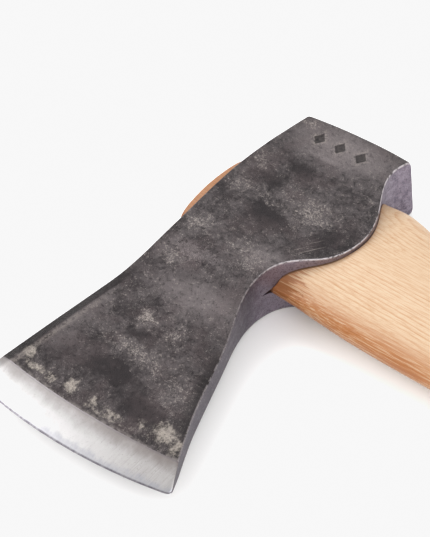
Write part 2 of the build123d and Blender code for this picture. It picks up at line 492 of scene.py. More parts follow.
def side_lines():
    """The top line, the underside, the poll and the cutting edge, with their corners rounded."""
    top = smooth(TOP_LINE, TOP_POINTS)
    under = smooth(UNDER_LINE, UNDER_POINTS)
    poll = arc(TOP_LINE[0], POLL_MIDDLE, UNDER_LINE[0], POLL_POINTS)
    edge = arc(TOE, EDGE_MIDDLE, HEEL, EDGE_POINTS)
    back, poll = round_corner(top[::-1], poll, POLL_CORNER)
    poll, under = round_corner(poll, under, POLL_CORNER)
    edge, back_from_toe = round_corner(edge[::-1], back, TOE_CORNER)
    under, edge = round_corner(under, edge, HEEL_CORNER)
    return back_from_toe[::-1], under, poll, edge[::-1]


def poll_steps():
    """Distances from the poll that are close together where the cheek rounds over to it."""
    return POLL_ROUND_ALONG * (1 - np.cos(np.linspace(0, np.pi / 2, POLL_STEPS)))


def boundary_rows(line, shoulder_y):
    """Points of one side of the cheek, with the eye's stations on it, and the eye's half width there."""
    s = lengths(line)
    front, back = eye_at(line[:, 0])[:2]
    share = (line[:, 1] - front) / (back - front)
    curve = eye_curve(EYE_ROWS + 1)
    at_eye = np.interp(-curve[::-1, 0], -share, s)
    to_shoulder = np.interp(-shoulder_y, -line[:, 1], s)
    rounded = poll_steps()
    before = np.r_[rounded, np.linspace(rounded[-1], at_eye[0], POLL_ROWS + 2 - len(rounded))[1:]]
    after = np.linspace(at_eye[-1], to_shoulder, BIT_ROWS + 1)
    stations = np.r_[before[:-1], at_eye, after[1:]]
    width = np.zeros(len(stations))
    width[POLL_ROWS : POLL_ROWS + EYE_ROWS + 1] = curve[::-1, 1]
    points = at(line, stations)
    return points, width * eye_at(points[:, 0])[2], to_shoulder


def column_shares(width):
    """Shares across a row of this width, close together inside both rounded edges."""
    near = EDGE_STEPS / width
    inner = np.linspace(near[-1], 1 - near[-1], CHEEK_COLUMNS + 3 - 2 * len(near))
    return np.r_[near[:-1], inner, 1 - near[-2::-1]]


def section(y):
    """Half thickness of the forging at y, before its bevel."""
    curve = smooth(SECTION, SECTION_POINTS)
    return np.minimum(HALF, np.interp(-y, -curve[:, 0], curve[:, 1]))


def dents(count, low, high, radius, depth):
    """Hammer marks scattered over a box, as (x, y, radius, depth)."""
    centres = RANDOM.uniform(low, high, (count, 2))
    radii = RANDOM.uniform(*radius, count)
    depths = RANDOM.uniform(*depth, count)
    return np.c_[centres, radii, depths]


def dented(points, marks):
    """How deep these hammer marks lie at each point."""
    depth = np.zeros(points.shape[:-1])
    for x, y, radius, mark in marks:
        share = ((points[..., 0] - x) ** 2 + (points[..., 1] - y) ** 2) / radius**2
        depth += mark * np.clip(1 - share, 0, 1) ** 2
    return depth


def punched(points):
    """How deep the punched mark lies at each point."""
    depth = np.zeros(points.shape[:-1])
    for x, y in DIAMONDS:
        across = np.abs(points[..., 0] - x) / DIAMOND_SIZE[0]
        along = np.abs(points[..., 1] - y) / DIAMOND_SIZE[1]
        depth += DIAMOND_DEPTH * np.clip(DIAMOND_WALL * (1 - (across + along)), 0, 1)
    return depth


def rounded(distance, along, down):
    """How far a surface falls off at this distance inside an elliptically rounded edge."""
    left = 1 - np.clip(distance / along, 0, 1)
    return down * (1 - np.sqrt(1 - left**2))


def cheek_height(points, from_top, from_under, from_poll, marks):
    """Height of the cheek over the mid-plane, with its hammer marks, top facet and rounded edges."""
    y = points[..., 1]
    height = section(y) - dented(points, marks)
    facet = FACET_WIDTH * ease((FACET_START_Y - y) / FACET_FADE)
    height -= FACET_SLOPE * np.clip(facet - from_top, 0, None)
    height -= rounded(from_poll, POLL_ROUND_ALONG, POLL_ROUND_DOWN)
    return height - rounded(np.minimum(from_top, from_under), EDGE_ROUND, EDGE_ROUND)


def cheek_points(top_rows, under_rows, poll, shoulder):
    """A grid over the cheek, and its distances from the top, the underside, the bevel and the poll."""
    width = np.linalg.norm(under_rows - top_rows, axis=1)
    across = np.stack([column_shares(w) for w in width])
    from_top = across * width[:, None]
    from_under = (1 - across) * width[:, None]
    top, under = lengths(top_rows), lengths(under_rows)
    from_poll = np.broadcast_to(top[:, None], across.shape)
    mean = (top + under) / 2
    from_bevel = np.broadcast_to((mean[-1] - mean)[:, None], across.shape)
    down = ((top / top[-1] + under / under[-1]) / 2)[:, None, None]
    right = across[..., None]
    ends = (1 - down) * at_share(poll, across) + down * at_share(shoulder, across)
    sides = (1 - right) * top_rows[:, None] + right * under_rows[:, None]
    low = (1 - right) * poll[0] + right * poll[-1]
    high = (1 - right) * shoulder[0] + right * shoulder[-1]
    points = ends + sides - (1 - down) * low - down * high
    return points, from_top, from_under, from_bevel, from_poll


def bevel_points(top_part, under_part, shoulder, edge, across):
    """A grid over the bevel, from its shoulder to the cutting edge, and each row's share of the way."""
    broad = np.linspace(0, 1 - MICRO_BEVEL_SHARE, BEVEL_ROWS + 1)
    share = np.r_[broad[:-1], np.linspace(broad[-1], 1, MICRO_BEVEL_ROWS + 1)]
    down = share[:, None, None]
    right = across[None, :, None]
    ends = (1 - down) * at_share(shoulder, across)[None] + down * at_share(edge, across)[None]
    on_top, on_under = at_share(top_part, share)[:, None], at_share(under_part, share)[:, None]
    sides = (1 - right) * on_top + right * on_under
    corners = (1 - down) * ((1 - right) * shoulder[0] + right * shoulder[-1])
    corners = corners + down * ((1 - right) * edge[0] + right * edge[-1])
    return ends + sides - corners, share[:, None]


def bevel_height(share, start):
    """Height of the bevel over the mid-plane: slightly convex, with a fine second bevel at the edge."""
    way = share / (1 - MICRO_BEVEL_SHARE)
    broad = start + (MICRO_BEVEL_HEIGHT - start) * way + BEVEL_BELLY * start * way * (1 - way)
    fine = MICRO_BEVEL_HEIGHT * (1 - share) / MICRO_BEVEL_SHARE
    return np.where(way < 1, broad, fine)


def leaning(points):
    """The head's points, with the narrow underside of its poll leaning as on hand-forged work."""
    x, y, z = points.T
    from_x, from_y = POLL_LEAN_FROM
    share = np.clip((x - from_x) / POLL_LEAN_FADE, 0, 1) * ease((y - from_y) / POLL_LEAN_FADE)
    return np.stack([x - share * (POLL_INSET + POLL_LEAN * z / HALF), y, z], axis=-1)


def build_head(materials):
    """The forged head as one closed mesh."""
    sheets = Sheets(["from_top", "from_under", "from_bevel", "from_poll"])
    top, under, poll, edge = side_lines()
    top_rows, top_width, top_cut = boundary_rows(top, SHOULDER_TOP_Y)
    under_rows, under_width, under_cut = boundary_rows(under, SHOULDER_UNDER_Y)
    shoulder = arc(top_rows[-1], SHOULDER_MIDDLE, under_rows[-1], EDGE_POINTS)
    cheek, *distances = cheek_points(top_rows, under_rows, poll, shoulder)
    from_top, from_under, from_poll = distances[0], distances[1], distances[3]
    across = column_shares(np.linalg.norm(under_rows[-1] - top_rows[-1]))
    top_part = at(top, np.linspace(top_cut, lengths(top)[-1], SIDE_POINTS))
    under_part = at(under, np.linspace(under_cut, lengths(under)[-1], SIDE_POINTS))
    bevel, share = bevel_points(top_part, under_part, shoulder, edge, across)
    on_bevel = -share * np.linalg.norm(at_share(shoulder, [0.5]) - at_share(edge, [0.5]))
    for side in (1, -1):
        marks = np.vstack([LARGE_MARKS, dents(*SMALL_MARKS)])
        height = cheek_height(cheek, from_top, from_under, from_poll, marks)
        if side > 0:
            height = height - punched(cheek)
        sheets.grid(cheek[..., 0], cheek[..., 1], side * height, SCALE, distances)
        rise = bevel_height(share, height[-1][None, :])
        values = from_top[-1], from_under[-1], on_bevel, from_poll[-1]
        sheets.grid(bevel[..., 0], bevel[..., 1], side * rise, BEVEL, values)
        walls(sheets, side, cheek, height, bevel, rise, top_width, under_width)
        tunnel(sheets, side, top_rows, top_width, under_rows, under_width)
    sheets.points = [leaning(points) for points in sheets.points]
    return sheets.build("forged_head", materials)


def walls(sheets, side, cheek, height, bevel, rise, top_width, under_width):
    """One half of the narrow faces round the head. Their values run on from the cheek's below zero."""
    steps = np.linspace(0, 1, WALL_STEPS + 1)
    far = float(POLL_ROUND_ALONG + EDGE_ROUND)
    for column, width in ((0, top_width), (-1, under_width)):
        line = np.vstack([cheek[:, column], bevel[1:, column]])
        high = np.r_[height[:, column], rise[1:, column]][:, None]
        low = np.r_[width, np.zeros(len(bevel) - 1)][:, None]
        z = high * (1 - steps) + low * steps
        depth = z - high
        sheets.grid(line[:, :1], line[:, 1:], side * z, GROUND, (depth, depth, far, far))
    high = height[0][:, None]
    z = high * (1 - steps)
    sheets.grid(cheek[0, :, :1], cheek[0, :, 1:], side * z, GROUND, (far, far, far, z - high))


def tunnel(sheets, side, top_rows, top_width, under_rows, under_width):
    """One half of the eye's inner wall, between the two sides of the head."""
    stations = slice(POLL_ROWS, POLL_ROWS + EYE_ROWS + 1)
    through = np.linspace(0, 1, EYE_STEPS + 1)
    a, b = top_rows[stations], under_rows[stations]
    x = a[:, :1] * (1 - through) + b[:, :1] * through
    y = a[:, 1:] * (1 - through) + b[:, 1:] * through
    z = top_width[stations, None] * (1 - through) + under_width[stations, None] * through
    sheets.grid(x, y, side * z, GROUND, (-HALF, -HALF, HALF, HALF))


# ---- handle

def handle_lines(x):
    """Front y, back y and half thickness of the handle at each x."""
    curve = smooth(HANDLE, HANDLE_POINTS)
    return [np.interp(x, curve[:, 0], curve[:, i]) for i in (1, 2, 3)]


def oval(x, angle):
    """Points (y, z) of the handle's section at each x and angle."""
    front, back, half = handle_lines(x)
    eye_front, eye_back = eye_at(x)[:2]
    front, back = np.maximum(front, eye_front + EYE_END_GAP), np.minimum(back, eye_back - EYE_END_GAP)
    power = 2 / np.where(np.cos(angle) < 0, FRONT_POWER, BACK_POWER)
    across = np.sign(np.cos(angle)) * np.abs(np.cos(angle)) ** power
    up = np.sign(np.sin(angle)) * np.abs(np.sin(angle)) ** power
    knob = rounded(HANDLE[-1][0] - x, KNOB_ROUND, KNOB_ROUND)
    inset = knob + rounded(x - TONGUE_TOP[0], TONGUE_ROUND, TONGUE_ROUND)
    y = (front + back) / 2 + ((back - front) / 2 - inset) * across
    return y, (half - inset) * up


def mouth_line(y):
    """x where the eye's mouth is, at each y."""
    under = smooth(UNDER_LINE, UNDER_POINTS)
    return np.interp(-y, -under[:, 1], under[:, 0])


def handle_grid():
    """x and angle over the whole handle, with a row of points just inside the eye's mouth."""
    turn = np.linspace(0, 2 * np.pi, HANDLE_RING + 1)
    inside = TONGUE_TOP[0] + TONGUE_ROUND * (1 - np.cos(np.linspace(0, np.pi / 2, TONGUE_END_ROWS)))
    grip = np.linspace(GRIP_START_X, HANDLE[-1][0] - KNOB_ROUND, GRIP_ROWS)
    knob = HANDLE[-1][0] - KNOB_ROUND * (1 - np.sin(np.linspace(0, np.pi / 2, KNOB_ROWS)))
    share = np.linspace(0, 1, TONGUE_ROWS)[1:]
    mouth = np.full(turn.shape, MOUTH_GUESS_X)
    for _ in range(MOUTH_TRIES):
        mouth = mouth_line(oval(mouth, turn)[0])
    tongue = inside[-1] + (mouth - INSIDE_MOUTH - inside[-1])[None, :] * share[:, None]
    step = mouth[None, :] + PAST_MOUTH[:, None]
    to_grip = step[-1] + (grip[0] - step[-1])[None, :] * np.linspace(0, 1, BLEND_ROWS)[1:, None]
    rows = [np.broadcast_to(v[:, None], (len(v), len(turn))) for v in (inside, grip[1:-1], knob)]
    x = np.vstack([rows[0], tongue, step, to_grip, rows[1], rows[2]])
    return x, np.broadcast_to(turn, x.shape)


def build_handle(materials):
    """The carved handle as one closed tube, with its tongue in the eye and its rounded knob."""
    x, turn = handle_grid()
    y, z = oval(x, turn)
    past = x - mouth_line(y)
    at_mouth = np.minimum(x, mouth_line(y))
    in_eye = np.clip(eye_width(at_mouth, y) - EYE_GAP, 0, None)
    proud = (PROUD + EYE_GAP) * ease(past / PROUD_LENGTH)
    free = ease(past / EYE_SHAPE_LENGTH)
    height = np.minimum(np.abs(z), in_eye + proud) * (1 - free) + np.abs(z) * free
    z = np.sign(z) * height
    near_top = 1 - ease((x - TONGUE_TOP[0]) / TONGUE_REACH)
    x = x + near_top * tongue_shape(y, z)
    sheets = Sheets(["from_head"])
    sheets.grid(x, y, z, 0, (past,))
    share = np.linspace(1, 0, CAP_RINGS)[:, None]
    cap_y, cap_z = shrunk(y[0], z[0], share)
    cap_x = TONGUE_TOP[0] + tongue_shape(cap_y, cap_z)
    sheets.grid(cap_x, cap_y, cap_z, 0, (past[0],))
    cap_y, cap_z = shrunk(y[-1], z[-1], share)
    cap_x = x[-1, 0] + KNOB_DOME * (1 - share**2)
    sheets.grid(cap_x, cap_y, cap_z, 0, (past[-1],))
    piece = sheets.build("hickory_handle", materials)
    cut(piece, hole_tool())
    cut(piece, wedge_tool(WOODEN_WEDGE, WOODEN_WEDGE_LENGTH, 0, 0))
    cut(piece, wedge_tool(STEEL_WEDGE, STEEL_WEDGE_LENGTH, STEEL_WEDGE_Y, STEEL_WEDGE_ANGLE))
    return piece


def tongue_shape(y, z):
    """How far the sloping, slightly domed top of the tongue lies inside its highest plane."""
    return TONGUE_SLOPE * (y - TONGUE_TOP[1]) + TONGUE_DOME * (z / TONGUE_HALF) ** 2


def shrunk(y, z, share):
    """A ring's points drawn in towards its middle."""
    middle = (y.min() + y.max()) / 2
    return middle + (y - middle) * share, z * share


def hole_tool():
    """The hanging hole through the knob."""
    turn = np.linspace(0, 2 * np.pi, HOLE_SIDES + 1)[:-1]
    x = HANG_HOLE[0] + HANG_HOLE_RADIUS * np.cos(turn)
    y = HANG_HOLE[1] + HANG_HOLE_RADIUS * np.sin(turn)
    return prism(np.stack([x, y, np.full(len(turn), -2 * HALF)], axis=-1), (0, 0, 4 * HALF))


def wedge_tool(sizes, length, y, angle):
    """The slot of a wedge: its outline square to the tongue's top, turned about the handle's axis."""
    top_half, tip_half, tip_x = sizes
    slope = (top_half - tip_half) / (tip_x - WEDGE_TOP_X)
    start_x = WEDGE_TOP_X - HALF
    start_half = top_half + slope * HALF
    flat = [(start_x, start_half), (tip_x, tip_half), (tip_x, -tip_half), (start_x, -start_half)]
    along = np.array([0, math.cos(angle), math.sin(angle)])
    up = np.array([0, -math.sin(angle), math.cos(angle)])
    corners = [np.array([x, y, 0]) - along * length / 2 + up * h for x, h in flat]
    return prism(corners, along * length)


# ---- materials

class Nodes:
    """One procedural material, worked out in the head's millimetres."""

    def __init__(self, name):
        self.material = bpy.data.materials.new(name)
        self.material.use_nodes = True
        self.tree = self.material.node_tree
        self.shader = self.tree.nodes["Principled BSDF"]
        self.colour = None

    def put(self, socket, value):
        """Links or sets one input."""
        if isinstance(value, bpy.types.NodeSocket):
            self.tree.links.new(value, socket)
        elif socket.type == "RGBA":
            socket.default_value = (*value, 1)
        else:
            socket.default_value = value

    def finish(self, roughness, metallic, normal=None):
        """Sets the shader's inputs and gives the material."""
        inputs = self.shader.inputs
        self.put(inputs["Base Color"], self.colour)
        self.put(inputs["Roughness"], roughness)
        self.put(inputs["Metallic"], metallic)
        if normal is not None:
            self.put(inputs["Normal"], normal)
        return self.material

    def place(self):
        """The surface point, in millimetres of the head's frame."""
        coordinates = self.tree.nodes.new("ShaderNodeTexCoord").outputs["Object"]
        moved = self.vector("SUBTRACT", coordinates, tuple(ORIGIN))
        return self.vector("MULTIPLY", moved, (1 / MM, 1 / MM, 1 / MM))

    def vector(self, operation, a, b):
        """Vector arithmetic on two values."""
        node = self.tree.nodes.new("ShaderNodeVectorMath")
        node.operation = operation
        self.put(node.inputs[0], a)
        self.put(node.inputs[1], b)
        return node.outputs[0]

    def math(self, operation, a, b=0.0):
        """Arithmetic on two numbers."""
        node = self.tree.nodes.new("ShaderNodeMath")
        node.operation = operation
        self.put(node.inputs[0], a)
        self.put(node.inputs[1], b)
        return node.outputs[0]

    def joined(self, operation, values):
        """Several numbers joined by one operation, from left to right."""
        return reduce(lambda a, b: self.math(operation, a, b), values)

    def plus(self, *values):
        """The sum of several values."""
        return self.joined("ADD", values)

    def times(self, *values):
        """The product of several values."""
        return self.joined("MULTIPLY", values)

    def most(self, *values):
        """The greatest of several values."""
        return self.joined("MAXIMUM", values)

    def weighed(self, *pairs):
        """The sum of several values, each times its weight."""
        return self.plus(*[self.times(value, weight) for value, weight in pairs])

    def parts(self, point):
        """The x, y and z of a point."""
        node = self.tree.nodes.new("ShaderNodeSeparateXYZ")
        self.put(node.inputs[0], point)
        return node.outputs[0], node.outputs[1], node.outputs[2]

    def attribute(self, name):
        """A named number on the mesh."""
        node = self.tree.nodes.new("ShaderNodeAttribute")
        node.attribute_name = name
        return node.outputs["Fac"]

    def cloud(self, point, size, detail, roughness, shift):
        """A noise texture with features of about this size in millimetres, or of one size per axis."""
        sizes = size if isinstance(size, tuple) else (size, size, size)
        point = self.vector("MULTIPLY", point, tuple(1 / s for s in sizes))
        node = self.tree.nodes.new("ShaderNodeTexNoise")
        shift = (shift, 0.37 * shift, 0.71 * shift)
        self.put(node.inputs["Vector"], self.vector("ADD", point, shift))
        node.inputs["Scale"].default_value = 1.0
        node.inputs["Detail"].default_value = detail
        node.inputs["Roughness"].default_value = roughness
        return node

    def noise(self, point, size, detail=2.0, roughness=0.5, shift=0.0):
        """Soft noise from 0 to 1."""
        return self.cloud(point, size, detail, roughness, shift).outputs["Fac"]

    def band(self, value, low, high):
        """0 below low, 1 above high and smooth between; the other way round if low is above high."""
        node = self.tree.nodes.new("ShaderNodeMapRange")
        node.interpolation_type = "SMOOTHSTEP"
        flip = low > high
        self.put(node.inputs["Value"], value)
        node.inputs["From Min"].default_value = min(low, high)
        node.inputs["From Max"].default_value = max(low, high)
        node.inputs["To Min"].default_value = 1.0 if flip else 0.0
        node.inputs["To Max"].default_value = 0.0 if flip else 1.0
        return node.outputs["Result"]

    def scaled(self, value, low, high):
        """A value from 0 to 1 stretched to run from low to high."""
        node = self.tree.nodes.new("ShaderNodeMapRange")
        self.put(node.inputs["Value"], value)
        node.inputs["To Min"].default_value = low
        node.inputs["To Max"].default_value = high
        return node.outputs["Result"]

    def mix(self, share, a, b):
        """One colour over another."""
        node = self.tree.nodes.new("ShaderNodeMix")
        node.data_type = "RGBA"
        self.put(node.inputs[0], share)
        self.put(node.inputs[6], a)
        self.put(node.inputs[7], b)
        return node.outputs[2]

    def over(self, tint, *shares):
        """Lays a tint over the material's colour, as far as the product of these shares."""
        self.colour = self.mix(self.times(*shares), self.colour, tint)

    def blob(self, point, x, y, radius_x, radius_y):
        """1 at a place on the side view, falling to 0 at these radii from it."""
        moved = self.vector("SUBTRACT", point, (x, y, 0))
        flat = self.vector("MULTIPLY", moved, (1 / radius_x, 1 / radius_y, 0))
        node = self.tree.nodes.new("ShaderNodeVectorMath")
        node.operation = "LENGTH"
        self.put(node.inputs[0], flat)
        return self.band(node.outputs["Value"], 1.0, 0.0)

    def warped(self, point, size, amount):
        """The point moved about by soft noise, by up to about half this amount."""
        cloud = self.cloud(point, size, 3.0, 0.5, 0.0)
        shift = self.vector("SUBTRACT", cloud.outputs["Color"], (0.5, 0.5, 0.5))
        return self.vector("ADD", point, self.vector("MULTIPLY", shift, (amount, amount, amount)))

    def turned(self, point, degrees):
        """The point turned about the axis square to the cheeks."""
        node = self.tree.nodes.new("ShaderNodeVectorRotate")
        node.rotation_type = "Z_AXIS"
        self.put(node.inputs["Vector"], point)
        node.inputs["Angle"].default_value = math.radians(degrees)
        return node.outputs["Vector"]

    def zones(self, point, zones):
        """The strongest of several soft places on the side view."""
        return self.most(*[self.times(self.blob(point, *place), strength) for *place, strength in zones])

    def bump(self, height, depth_mm, strength=1.0):
        """A normal from a height of 0 to 1 that stands for this depth."""
        node = self.tree.nodes.new("ShaderNodeBump")
        node.inputs["Strength"].default_value = strength
        node.inputs["Distance"].default_value = depth_mm * MM
        self.put(node.inputs["Height"], height)
        return node.outputs["Normal"]


def forge_scale():
    """Dark oxide from the forge: mottled, pitted, flecked, with bare steel on edges and by the bevel."""
    n = Nodes("forge_scale")
    p = n.place()
    from_top, from_under = n.attribute("from_top"), n.attribute("from_under")
    from_bevel, from_poll = n.attribute("from_bevel"), n.attribute("from_poll")
    loose = n.warped(p, 6.0, 9.0)
    middle = n.noise(p, 7, 4.0, 0.62, 4.0)
    mottle = n.noise(loose, 2.2, 5.0, 0.72, 23.0)
    grit = n.noise(p, 0.9, 5.0, 0.75, 9.0)
    sand = n.noise(p, 0.36, 3.0, 0.65, 2.0)
    light = n.zones(loose, LIGHT_ZONES)
    dark = n.zones(loose, DARK_ZONES)

    uneven = n.weighed((middle, 0.55), (mottle, 0.45))
    lightness = n.math("SUBTRACT", light, dark)
    tone = n.plus(uneven, n.times(lightness, 0.22))
    n.colour = n.mix(n.band(tone, 0.34, 0.68), SCALE_DARK, SCALE_GREY)
    rusty = n.plus(n.noise(p, 12, 3.0, 0.6, 30.0), n.times(dark, 0.1))
    n.over(SCALE_BROWN, n.band(rusty, 0.45, 0.65), n.scaled(dark, 0.6, 0.3))
    calm = n.zones(n.warped(p, 9.0, 7.0), SMOOTH_ZONES)
    n.over(SCALE_SMOOTH, calm)
    rough = n.scaled(calm, 1.0, 0.6)
    pits = n.weighed((grit, 0.6), (mottle, 0.4))
    n.over(SCALE_BLACK, n.band(pits, 0.49, 0.38), rough, 0.7)
    clustered = n.times(n.math("SUBTRACT", mottle, 0.5), 0.45)
    level = n.plus(n.noise(p, 0.6, 5.0, 0.75, 19.0), clustered, n.times(lightness, 0.12))
    n.over(SCALE_FLECK, n.band(level, 0.585, 0.69), rough, 0.75)
    sparks = n.plus(sand, clustered, n.times(lightness, 0.09))
    n.over(SCALE_LIGHT, n.band(sparks, 0.655, 0.75), rough, 0.7)
    margin = n.times(n.band(from_under, 5.5, 1.0), n.band(from_poll, 88.0, 104.0))
    n.over(SCALE_BLACK, margin, 0.55)
    scratches = n.noise(n.turned(p, -52.0), (13.0, 0.45, 0.45), 3.0, 0.6, 5.0)
    scratches = n.times(n.band(scratches, 0.57, 0.66), n.blob(p, 17.0, -20.0, 10.0, 10.0))
    n.over(SCALE_FLECK, scratches, 0.6)

    # Worn places on the neck: the scale is smoother there (lower roughness below), and speckled spots in
    # them are painted lighter as a painted highlight
    worn_and_painted_sheen = n.zones(n.warped(p, 3.0, 5.0), WORN_AND_SHEEN_ZONES)
    painted_glint = n.weighed((grit, 0.75), (uneven, 0.5), (worn_and_painted_sheen, 0.35))
    painted_glint = n.times(n.band(painted_glint, 0.72, 1.12), n.band(worn_and_painted_sheen, 0.0, 0.4))
    n.over(SCALE_SMOOTH, painted_glint, 0.5)

    places = n.zones(n.warped(p, 2.5, 4.0), BARE_ZONES)
    veins = n.noise(n.warped(p, 1.5, 1.2), (1.1, 1.9, 1.5), 5.0, 0.75, 33.0)
    bare = n.band(n.plus(veins, n.times(places, 0.42)), 0.6, 0.9)
    left = n.band(n.noise(n.warped(p, 1.0, 1.0), 0.9, 4.0, 0.7, 41.0), 0.34, 0.56)
    bare = n.times(bare, n.scaled(left, 0.35, 1.0))
    n.over(BARE_BEIGE, bare, n.scaled(grit, 0.5, 1.25))
    worn = n.times(n.band(from_bevel, 1.4, 0.1), n.band(n.noise(p, 2.4, 4.0, 0.6, 40.0), 0.4, 0.6))
    n.over(BEVEL_WARM, worn, 0.7)

    facet = n.times(n.band(from_top, 3.6, 2.8), n.band(from_poll, 80.0, 100.0))
    n.over(SCALE_BLACK, facet, 0.75)
    ridge = n.times(n.band(from_top, 3.2, 4.2), n.band(from_top, 6.0, 4.6))
    ridge = n.times(ridge, n.band(from_poll, 90.0, 120.0))
    n.over(SCALE_FLECK, ridge, n.band(grit, 0.35, 0.6), 0.45)

    rim = n.times(n.band(from_under, 0.5, 0.25), n.band(n.noise(p, 1.6, 4.0, 0.65, 12.0), 0.36, 0.54))
    rim = n.times(rim, n.scaled(n.band(from_poll, 75.0, 50.0), 0.4, 1.0))
    poll_rim = n.times(n.band(from_poll, 1.2, 0.6), n.band(n.noise(p, 2.4, 4.0, 0.65, 15.0), 0.38, 0.55))
    rim = n.most(rim, n.times(poll_rim, 0.6))
    n.over(RIM_STEEL, rim)
    pressed = stamped(n, p, grit)

    polish = n.most(bare, rim, worn_and_painted_sheen)
    roughness = n.scaled(n.math("SUBTRACT", grit, n.times(polish, 0.35)), 0.26, 0.7)
    roughness = n.times(roughness, n.scaled(worn_and_painted_sheen, 1.0, 0.5))
    hammered = n.times(n.noise(p, (2.2, 1.5, 1.5), 2.0, 0.5, 61.0), n.blob(p, *HAMMERED_NECK))
    raised = n.weighed((grit, 0.6), (sand, 0.3), (uneven, 1.3), (hammered, 1.6))
    relief = n.plus(raised, n.times(bare, -0.25), n.times(pressed, -0.5))
    return n.finish(roughness, 0.8, n.bump(relief, 0.4, 0.9))


def stamped(n, p, grit):
    """Colours the punched diamonds, dark inside and worn bright round them, and tells where they are."""
    x, y, z = n.parts(p)
    reaches = []
    for centre_x, centre_y in DIAMONDS:
        across = n.times(n.math("ABSOLUTE", n.math("SUBTRACT", x, centre_x)), 1 / DIAMOND_SIZE[0])
        along = n.times(n.math("ABSOLUTE", n.math("SUBTRACT", y, centre_y)), 1 / DIAMOND_SIZE[1])
        reaches.append(n.plus(across, along))
    inside = n.most(*[n.band(reach, 1.0, 0.8) for reach in reaches])
    round_it = n.most(*[n.band(reach, 1.9, 1.05) for reach in reaches])
    upper = n.band(z, 0.0, 1.0)
    n.over(SCALE_FLECK, round_it, n.band(grit, 0.45, 0.6), upper, 0.7)
    n.over(SCALE_BLACK, inside, upper, 0.75)
    return n.times(inside, upper)


def ground_steel():
    """The narrow faces: steel ground and left to dull, with a lilac tint, darker along the beard, and
    with painted shade on the wall from the lug down.
    """
    n = Nodes("ground_steel")
    p = n.place()
    mottle = n.noise(p, 2.6, 5.0, 0.68, 5.0)
    fine = n.noise(p, 0.6, 3.0, 0.65, 8.0)
    x, y = n.parts(p)[:2]
    shade_under_lug, beard = n.band(y, -37.0, -46.0), n.band(y, -50.0, -78.0)
    lug = n.times(n.band(y, -41.0, -31.0), n.band(x, -2.0, 6.0))
    n.colour = n.mix(n.band(mottle, 0.3, 0.7), GROUND_LILAC, GROUND_LIGHT)
    n.over(GROUND_LIGHT, lug, n.band(y, 12.0, -6.0), 0.8)
    # Darker from the lug down to the beard: painted shade below the lug, where the lug and the handle
    # keep the light off
    n.over(GROUND_DARK, shade_under_lug, n.scaled(mottle, 1.0, 0.5))
    n.over(GROUND_DARK, beard, 0.7)
    n.over(GROUND_DARK, n.band(fine, 0.5, 0.34), 0.6)
    n.over(GROUND_LIGHT, n.band(fine, 0.54, 0.68), 0.6)
    lines = n.noise(p, (6.0, 6.0, 0.25), 3.0, 0.6, 1.0)
    relief = n.weighed((lines, 0.4), (mottle, 0.6))
    return n.finish(n.scaled(mottle, 0.55, 0.4), 1.0, n.bump(relief, 0.12, 0.5))


def polished_bevel():
    """The bevel: brushed, worn grey at the shoulder, bright below as a painted reflection that dims
    towards the heel, with a fine dark rim of painted shade at the edge.
    """
    n = Nodes("polished_bevel")
    p = n.place()
    x = n.parts(p)[0]
    share = n.times(n.attribute("from_bevel"), -1.0)
    lines = n.noise(p, (0.25, 6.0, 6.0), 4.0, 0.65, 1.0)
    coarse = n.noise(p, (1.2, 3.0, 3.0), 4.0, 0.62, 6.0)
    cloud = n.noise(p, 5, 3.0, 0.6, 11.0)
    ragged = n.plus(coarse, n.times(lines, 0.3), n.times(cloud, 1.7))
    uneven = n.plus(share, n.times(n.math("SUBTRACT", ragged, 1.5), 2.4))
    # Lighter at the toe and greyer towards the heel: a painted reflection of the lights, put into the
    # base colour
    toward_heel_painted_dim = n.band(x, -24.0, 26.0)
    n.colour = n.mix(n.times(toward_heel_painted_dim, 0.8), BEVEL_PALE_AND_PAINTED_REFLECTION, BEVEL_GREY)
    streaks = n.noise(n.turned(p, 16.0), (0.3, 9.0, 9.0), 4.0, 0.7, 27.0)
    n.over(BEVEL_PALE_AND_PAINTED_REFLECTION, n.band(streaks, 0.5, 0.7), toward_heel_painted_dim, 0.3)
    n.over(BEVEL_WARM, n.band(streaks, 0.48, 0.32), toward_heel_painted_dim, 0.3)
    worn = n.times(n.band(uneven, 6.5, 0.0), n.scaled(toward_heel_painted_dim, 0.75, 1.0))
    n.over(BEVEL_WARM, worn)
    n.over(BEVEL_GREY, n.band(cloud, 0.5, 0.75), 0.25)
    n.over(BEVEL_BLUE, n.band(uneven, 8.4, 10.6), n.scaled(coarse, 0.1, 0.95))
    speckle = n.noise(p, 0.55, 4.0, 0.7, 51.0)
    n.over(BEVEL_WARM, n.band(speckle, 0.56, 0.7), n.scaled(toward_heel_painted_dim, 0.25, 0.5))
    n.over(BEVEL_DARK, n.band(share, 0.9, 0.0), 0.45)
    # A dark line along the cutting edge: painted shade where the edge turns away from the light
    rim = n.times(n.band(share, 10.7, 11.2), n.scaled(n.band(coarse, 0.35, 0.6), 0.6, 0.9))
    n.over(BEVEL_DARK, rim)
    relief = n.weighed((lines, 0.6), (coarse, 0.5))
    return n.finish(n.scaled(lines, 0.22, 0.42), 1.0, n.bump(relief, 0.06, 0.6))


